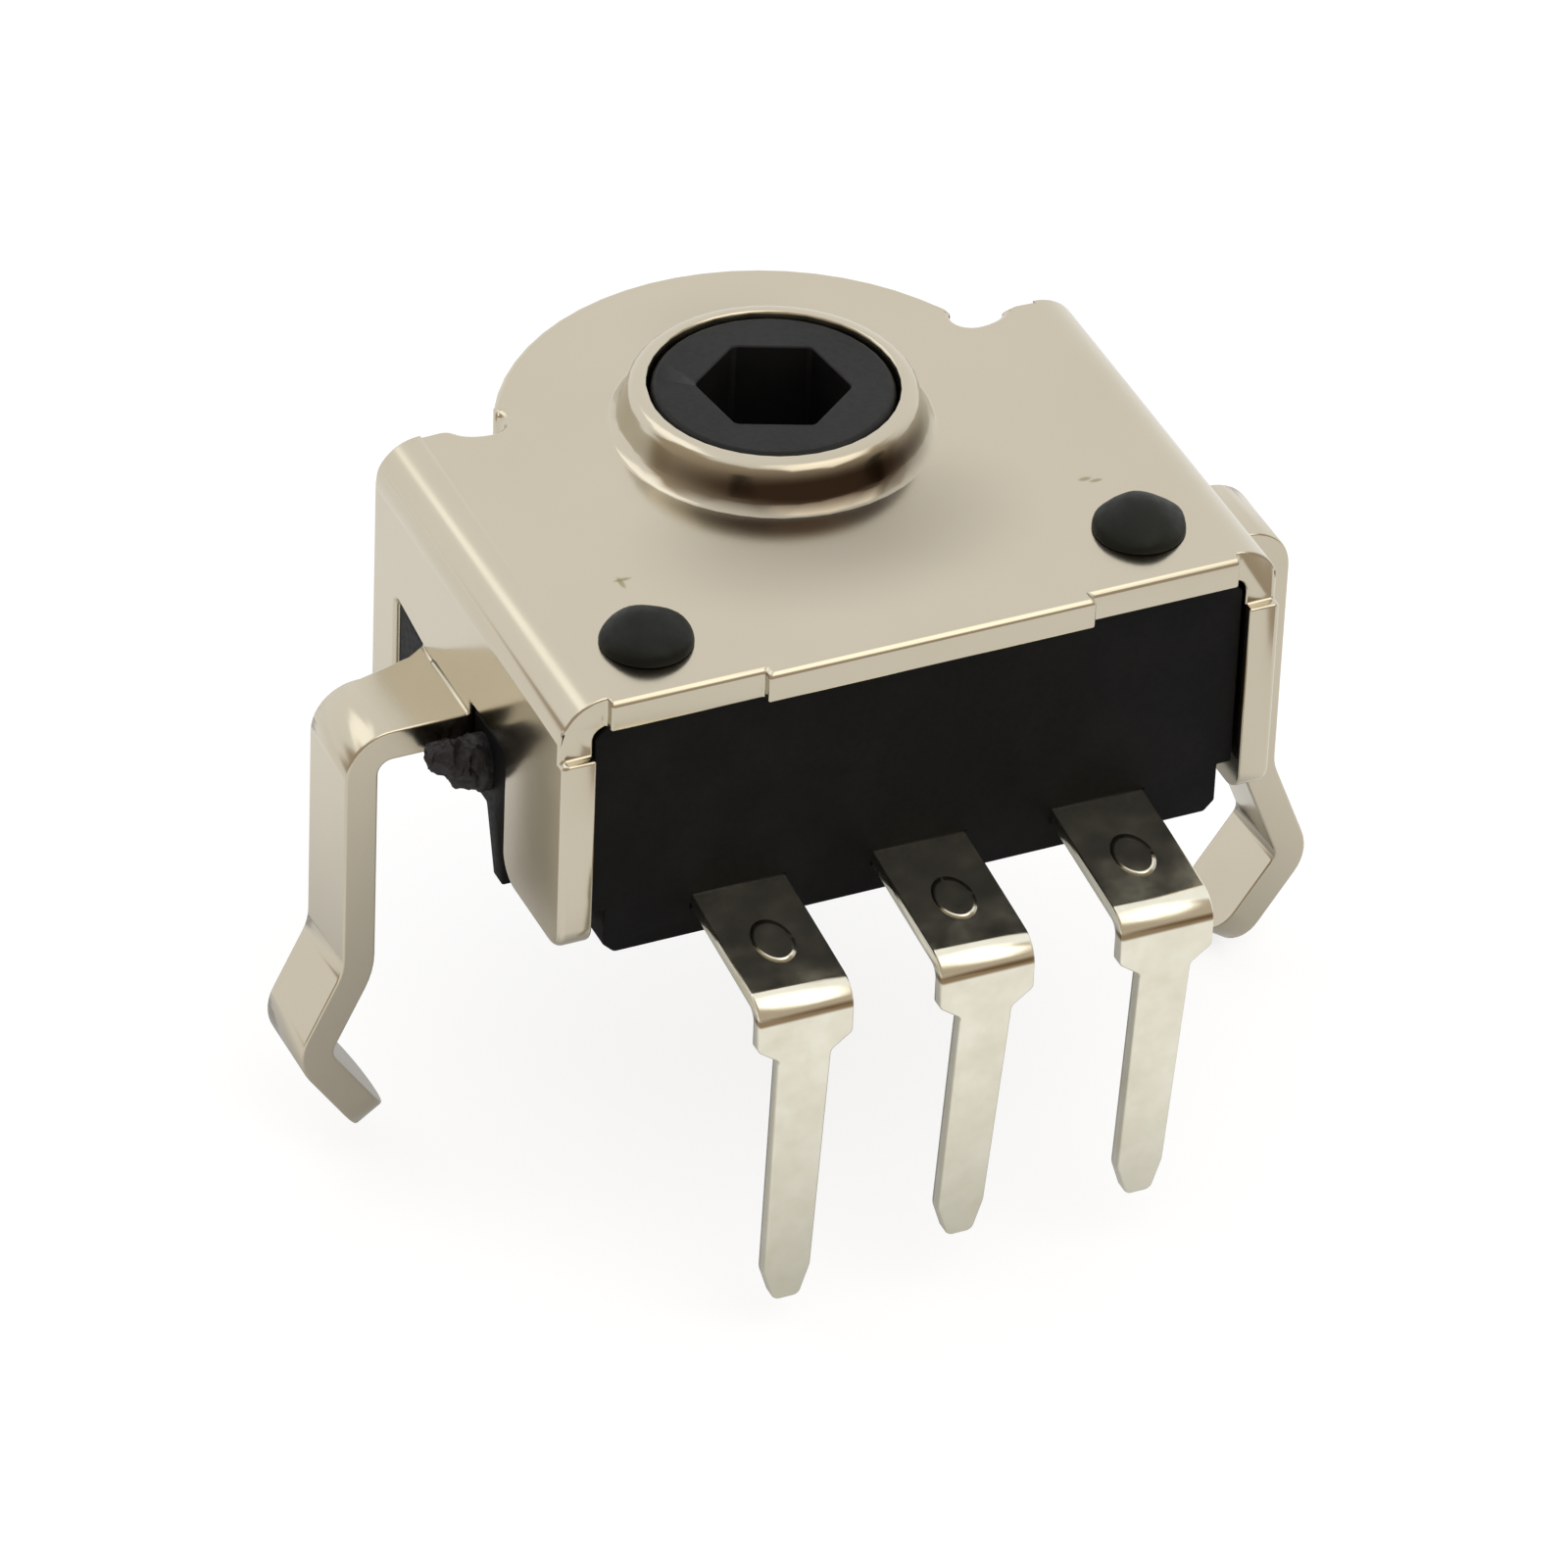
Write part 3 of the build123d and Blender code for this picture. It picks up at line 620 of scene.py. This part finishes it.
@dataclass
class RotorUnit:
    """The moulded rotor with its face teeth, and the contact plate under it."""

    edge: EdgeBreak = EdgeBreak(0.03)
    plate_edge: EdgeBreak = EdgeBreak(0.01)

    def build(self, moulding: bpy.types.Material, plate: bpy.types.Material) -> None:
        """Build the rotor and its contact plate.

        Args:
            moulding: Finish of the rotor.
            plate: Finish of the contact plate.
        """
        as_piece(welded_node("rotor"), "toothed_rotor", Body.ROTOR, Slot.ROTOR, moulding,
                 edge=self.edge, stands_for=("rotor",))
        as_piece(welded_node("code_disc"), "contact_plate", Body.ROTOR, Slot.CONTACT, plate,
                 edge=self.plate_edge, stands_for=("code_disc",))


@dataclass
class ClickSpring:
    """The wavy bronze ring whose two bumps fall between the teeth."""

    edge: EdgeBreak = EdgeBreak(0.015)

    def build(self, material: bpy.types.Material) -> None:
        """Build the spring."""
        as_piece(welded_node("click_spring"), "wavy_spring", Body.HOUSING, Slot.SPRING,
                 material, edge=self.edge, stands_for=("click_spring",))


@dataclass
class TerminalRow:
    """The three stamped terminals, each with an oval mark struck into its slope."""

    edge: EdgeBreak = EdgeBreak(0.03)
    names: tuple[str, ...] = ("terminal_a", "terminal_c", "terminal_b")
    pitch_mm: float = 2.50
    shift_mm: float = 0.07
    slope_top_mm: tuple[float, float] = (-4.74, -3.40)   # y and z where it leaves the base
    slope_reach_mm: float = 2.20
    slope_drop_mm: float = 0.26
    mark_half_mm: tuple[float, float] = (0.17, 0.25)
    mark_profile: tuple[tuple[float, float], ...] = (    # share of the size, height in mm
        (1.60, -0.0006), (1.25, 0.0004), (1.00, 0.0014), (0.88, 0.0019), (0.74, 0.0015),
        (0.55, 0.0007), (0.30, 0.0005), (0.10, 0.0005),
    )
    mark_sides: int = 36
    cut_end_y_mm: float = 2.95       # the tie-bar ends lie behind this

    def strike_mark(self, shape: bmesh.types.BMesh, x_mm: float) -> None:
        """Add the oval mark: a low rim that the punch pushed up round a shallow dish.

        Args:
            shape: Mesh of the terminal.
            x_mm: Middle of the terminal.
        """
        y_mm, z_mm = self.slope_top_mm
        middle = Vector((x_mm, y_mm - self.slope_reach_mm / 2, z_mm - self.slope_drop_mm / 2))
        slope = Matrix.Rotation(math.atan2(self.slope_drop_mm, self.slope_reach_mm), 3, "X")
        rings = []
        for share, height in self.mark_profile:
            points = []
            for side in range(self.mark_sides):
                turn = 2 * math.pi * side / self.mark_sides
                flat = Vector((self.mark_half_mm[0] * share * math.cos(turn),
                               self.mark_half_mm[1] * share * math.sin(turn), height))
                points.append((middle + slope @ flat) * MM)
            rings.append(vert_ring(shape, points))
        skin_rings(shape, rings)

    def build(self, plated: bpy.types.Material, cut: bpy.types.Material) -> None:
        """Build the three terminals.

        Args:
            plated: Finish of the strip.
            cut: Finish of the tie-bar ends.
        """
        for place, name in enumerate(self.names, start=-1):
            shape = welded_node(name)
            self.strike_mark(shape, place * self.pitch_mm + self.shift_mm)
            for face in shape.faces:
                face.material_index = int(face.calc_center_median().y
                                          > self.cut_end_y_mm * MM)
            as_piece(shape, name + "_strip", Body.HOUSING, Slot.TERMINAL, plated, cut,
                     edge=self.edge, stands_for=(name,))


# ------------------------------------------------------------------ studio
def bearing(azimuth_deg: float, elevation_deg: float) -> Vector:
    """Find the direction at an azimuth and an elevation.

    Args:
        azimuth_deg: Angle from the front, positive to the right.
        elevation_deg: Angle above the horizon.

    Returns:
        The direction, one long.
    """
    azimuth, elevation = math.radians(azimuth_deg), math.radians(elevation_deg)
    return Vector((math.sin(azimuth) * math.cos(elevation),
                   -math.cos(azimuth) * math.cos(elevation), math.sin(elevation)))


def repaint(tree: bpy.types.NodeTree, share: bpy.types.NodeSocket,
            room: bpy.types.NodeSocket, colour: str, level: float) -> bpy.types.NodeSocket:
    """Blend one colour into the room's.

    Args:
        tree: Node tree of the world.
        share: How much of the new colour each direction takes.
        room: Colour of the room so far.
        colour: New colour as sRGB hex.
        level: Brightness of the new colour.

    Returns:
        Colour of the room with the new part.
    """
    lit = add_node(tree, "ShaderNodeVectorMath",
                   {0: srgb(colour)[:3], "Scale": level}, operation="SCALE")
    mix = add_node(tree, "ShaderNodeMix",
                   links={"Factor": share, "A": room, "B": lit.outputs[0]}, data_type="RGBA")
    return mix.outputs[2]


@dataclass(frozen=True)
class RoomBelt:
    """A belt of the room that is darker than the rest, from the floor up, round one side."""

    azimuth_deg: float
    half_width_deg: float
    top_deg: float
    soft_deg: float
    colour: str
    level: float

    def paint(self, tree: bpy.types.NodeTree, ray: bpy.types.NodeSocket,
              room: bpy.types.NodeSocket) -> bpy.types.NodeSocket:
        """Blend the belt into the room's colour.

        Args:
            tree: Node tree of the world.
            ray: Direction that is looked up.
            room: Colour of the room so far.

        Returns:
            Colour of the room with the belt.
        """
        level_ray = add_node(tree, "ShaderNodeVectorMath", {1: (1.0, 1.0, 0.0)}, {0: ray},
                             operation="MULTIPLY")
        heading = add_node(tree, "ShaderNodeVectorMath", links={0: level_ray.outputs[0]},
                           operation="NORMALIZE")
        close = add_node(tree, "ShaderNodeVectorMath", {1: bearing(self.azimuth_deg, 0.0)},
                         {0: heading.outputs[0]}, operation="DOT_PRODUCT")
        around = add_node(
            tree, "ShaderNodeMapRange",
            {"From Min": math.cos(math.radians(self.half_width_deg + self.soft_deg)),
             "From Max": math.cos(math.radians(self.half_width_deg))},
            {"Value": close.outputs["Value"]}, interpolation_type="SMOOTHSTEP")
        height = add_node(tree, "ShaderNodeSeparateXYZ", links={0: ray})
        under = add_node(
            tree, "ShaderNodeMapRange",
            {"From Min": math.sin(math.radians(self.top_deg)),
             "From Max": math.sin(math.radians(self.top_deg + self.soft_deg)),
             "To Min": 1.0, "To Max": 0.0},
            {"Value": height.outputs["Z"]}, interpolation_type="SMOOTHSTEP")
        share = add_node(tree, "ShaderNodeMath",
                         links={0: around.outputs["Result"], 1: under.outputs["Result"]},
                         operation="MULTIPLY")
        return repaint(tree, share.outputs[0], room, self.colour, self.level)


@dataclass(frozen=True)
class RoomPatch:
    """A round part of the room that is darker or brighter than the rest."""

    azimuth_deg: float
    elevation_deg: float
    inner_deg: float
    outer_deg: float
    colour: str
    level: float

    def paint(self, tree: bpy.types.NodeTree, ray: bpy.types.NodeSocket,
              room: bpy.types.NodeSocket) -> bpy.types.NodeSocket:
        """Blend the patch into the room's colour.

        Args:
            tree: Node tree of the world.
            ray: Direction that is looked up.
            room: Colour of the room so far.

        Returns:
            Colour of the room with the patch.
        """
        close = add_node(tree, "ShaderNodeVectorMath",
                         {1: bearing(self.azimuth_deg, self.elevation_deg)}, {0: ray},
                         operation="DOT_PRODUCT")
        share = add_node(tree, "ShaderNodeMapRange",
                         {"From Min": math.cos(math.radians(self.outer_deg)),
                          "From Max": math.cos(math.radians(self.inner_deg))},
                         {"Value": close.outputs["Value"]}, interpolation_type="SMOOTHSTEP")
        return repaint(tree, share.outputs["Result"], room, self.colour, self.level)


@dataclass
class Studio:
    """Pale floor, soft light and the camera."""

    azimuth_deg: float = -25.29
    elevation_deg: float = 36.31
    roll_deg: float = 2.45
    distance_mm: float = 150.0
    clip_mm: tuple[float, float] = (5.0, 5000.0)
    lens_mm: float = 268.8
    floor_mm: tuple[float, float, float, float] = (-34.0, 34.0, -30.0, 120.0)
    floor_gap_mm: float = 0.01
    aim_mm: tuple[float, float, float] = (-0.85, -2.62, -3.72)
    room_level: float = 1.15
    floor_colour: str = "#8C8C8C"
    floor_lift: float = 0.77         # glow that takes the lit floor up to white
    shade_mm: tuple[float, float, float, float] = (-1.0, -0.5, 5.0, 12.0)   # x, y, from, to
    shade_level: float = 0.40        # painted shadow: share of the floor's glow left under the part, as its metal mirrors it
    patches: tuple[RoomBelt | RoomPatch, ...] = (
        RoomBelt(-22.0, 92.0, 40.0, 14.0, "#E0D0BC", 0.72),
        RoomPatch(25.0, 52.0, 16.0, 34.0, "#FFFBF2", 2.2),
    )
    box_place_mm: tuple[float, float, float] = (-90.0, 90.0, 140.0)
    box_size_mm: float = 120.0
    box_power: float = 0.03          # watts

    def add_camera(self) -> None:
        """Place a long lens at the viewing angle, a little rolled."""
        data = bpy.data.cameras.new("camera")
        data.lens = self.lens_mm
        data.clip_start, data.clip_end = (reach * MM for reach in self.clip_mm)
        camera = bpy.data.objects.new("camera", data)
        bpy.context.scene.collection.objects.link(camera)
        back = bearing(self.azimuth_deg, self.elevation_deg)
        turn = (-back).to_track_quat("-Z", "Y").to_matrix()
        roll = Matrix.Rotation(math.radians(self.roll_deg), 3, "Z")
        place = Vector(self.aim_mm) * MM + back * self.distance_mm * MM
        camera.matrix_world = Matrix.Translation(place) @ (turn @ roll).to_4x4()
        bpy.context.scene.camera = camera

    def add_floor(self) -> None:
        """Lay a floor under the lowest point; it looks white where the part doesn't shade it."""
        low = CAD_BOX[0].z - self.floor_gap_mm * MM
        left, right, near, far = (side * MM for side in self.floor_mm)
        mesh = bpy.data.meshes.new("floor")
        mesh.from_pydata([(left, near, low), (right, near, low), (right, far, low),
                          (left, far, low)], [], [(0, 1, 2, 3)])
        floor = bpy.data.objects.new("floor", mesh)
        bpy.context.scene.collection.objects.link(floor)
        material, tree = new_material("white_studio_card")
        seen = self.seen_share(tree, low)
        card = add_node(tree, "ShaderNodeBsdfDiffuse", {"Color": srgb(self.floor_colour)})
        glow = add_node(tree, "ShaderNodeEmission", {"Color": srgb("#FFFFFF")},
                        {"Strength": seen})
        both = add_node(tree, "ShaderNodeAddShader",
                        links={0: card.outputs["BSDF"], 1: glow.outputs["Emission"]})
        add_node(tree, "ShaderNodeOutputMaterial", links={"Surface": both.outputs["Shader"]})
        mesh.materials.append(material)

    def seen_share(self, tree: bpy.types.NodeTree, low: float) -> bpy.types.NodeSocket:
        """Lift for rays that see the floor directly, in a mirror or through glass.

        Args:
            tree: Node tree of the floor.
            low: Height of the floor in metres.

        Returns:
            The lift, which fades in a mirror round the part: a painted shadow on the floor.
        """
        path = add_node(tree, "ShaderNodeLightPath")
        place = add_node(tree, "ShaderNodeTexCoord").outputs["Object"]
        across, along, start, end = (size * MM for size in self.shade_mm)
        away = add_node(tree, "ShaderNodeVectorMath", {1: (across, along, low)}, {0: place},
                        operation="DISTANCE")
        # painted shadow: in a mirror the floor's glow fades towards the part
        shade = add_node(tree, "ShaderNodeMapRange",
                         {"From Min": start, "From Max": end, "To Min": self.shade_level},
                         {"Value": away.outputs["Value"]}, interpolation_type="SMOOTHSTEP")
        indirect = add_node(tree, "ShaderNodeMath", operation="MAXIMUM",
                            links={0: path.outputs["Is Glossy Ray"],
                                   1: path.outputs["Is Transmission Ray"]})
        mirror = add_node(tree, "ShaderNodeMath", operation="MULTIPLY",
                          links={0: indirect.outputs[0], 1: shade.outputs["Result"]})
        seen = add_node(tree, "ShaderNodeMath", operation="MAXIMUM",
                        links={0: path.outputs["Is Camera Ray"], 1: mirror.outputs[0]})
        lift = add_node(tree, "ShaderNodeMath", {1: self.floor_lift}, {0: seen.outputs[0]},
                        operation="MULTIPLY")
        return lift.outputs[0]

    def add_world(self) -> None:
        """Light the room evenly, but for its patches; straight to the camera it is white."""
        world = bpy.data.worlds.new("studio")
        bpy.context.scene.world = world
        world.use_nodes = True
        tree = world.node_tree
        tree.nodes.clear()
        ray = add_node(tree, "ShaderNodeTexCoord").outputs["Generated"]
        white = add_node(tree, "ShaderNodeVectorMath",
                         {0: srgb("#FFFFFF")[:3], "Scale": self.room_level},
                         operation="SCALE")
        room = white.outputs[0]
        for patch in self.patches:
            room = patch.paint(tree, ray, room)
        path = add_node(tree, "ShaderNodeLightPath")
        colour = add_node(tree, "ShaderNodeMix", {"B": srgb("#FFFFFF")},
                          {"Factor": path.outputs["Is Camera Ray"], "A": room},
                          data_type="RGBA")
        sky = add_node(tree, "ShaderNodeBackground", {"Strength": 1.0},
                       {"Color": colour.outputs[2]})
        add_node(tree, "ShaderNodeOutputWorld", links={"Surface": sky.outputs["Background"]})

    def add_soft_box(self) -> None:
        """Hang one square soft box that faces the object from the rear left."""
        data = bpy.data.lights.new("soft_box_rear_left", "AREA")
        data.size = self.box_size_mm * MM
        data.energy = self.box_power
        lamp = bpy.data.objects.new("soft_box_rear_left", data)
        bpy.context.scene.collection.objects.link(lamp)
        lamp.location = Vector(self.box_place_mm) * MM
        aim = Vector(self.aim_mm) * MM - lamp.location
        lamp.rotation_mode = "QUATERNION"
        lamp.rotation_quaternion = aim.to_track_quat("-Z", "Y")

    def build(self) -> None:
        """Set the whole studio up."""
        bpy.context.scene.view_settings.view_transform = "Standard"
        self.add_camera()
        self.add_floor()
        self.add_world()
        self.add_soft_box()
        LOG.info("studio: floor, room, soft box and camera")


# ------------------------------------------------------------------ main
def main() -> None:
    """Build each sub-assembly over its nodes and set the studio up."""
    logging.basicConfig(level=logging.INFO, format="%(name)s: %(message)s")
    SheetFrame().build(NICKEL_PLATED_STEEL.material())
    MouldedBase().build(MOULDED_POLYESTER.material(), STAKED_POLYESTER.material(),
                        TORN_POLYESTER.material())
    RotorUnit().build(MOULDED_ACETAL.material(), GOLD_FLASHED_PLATE.material())
    ClickSpring().build(PHOSPHOR_BRONZE.material())
    TerminalRow().build(TINNED_BRASS.material(), CUT_BRASS.material())
    Studio().build()


if __name__ == "__main__":
    main()
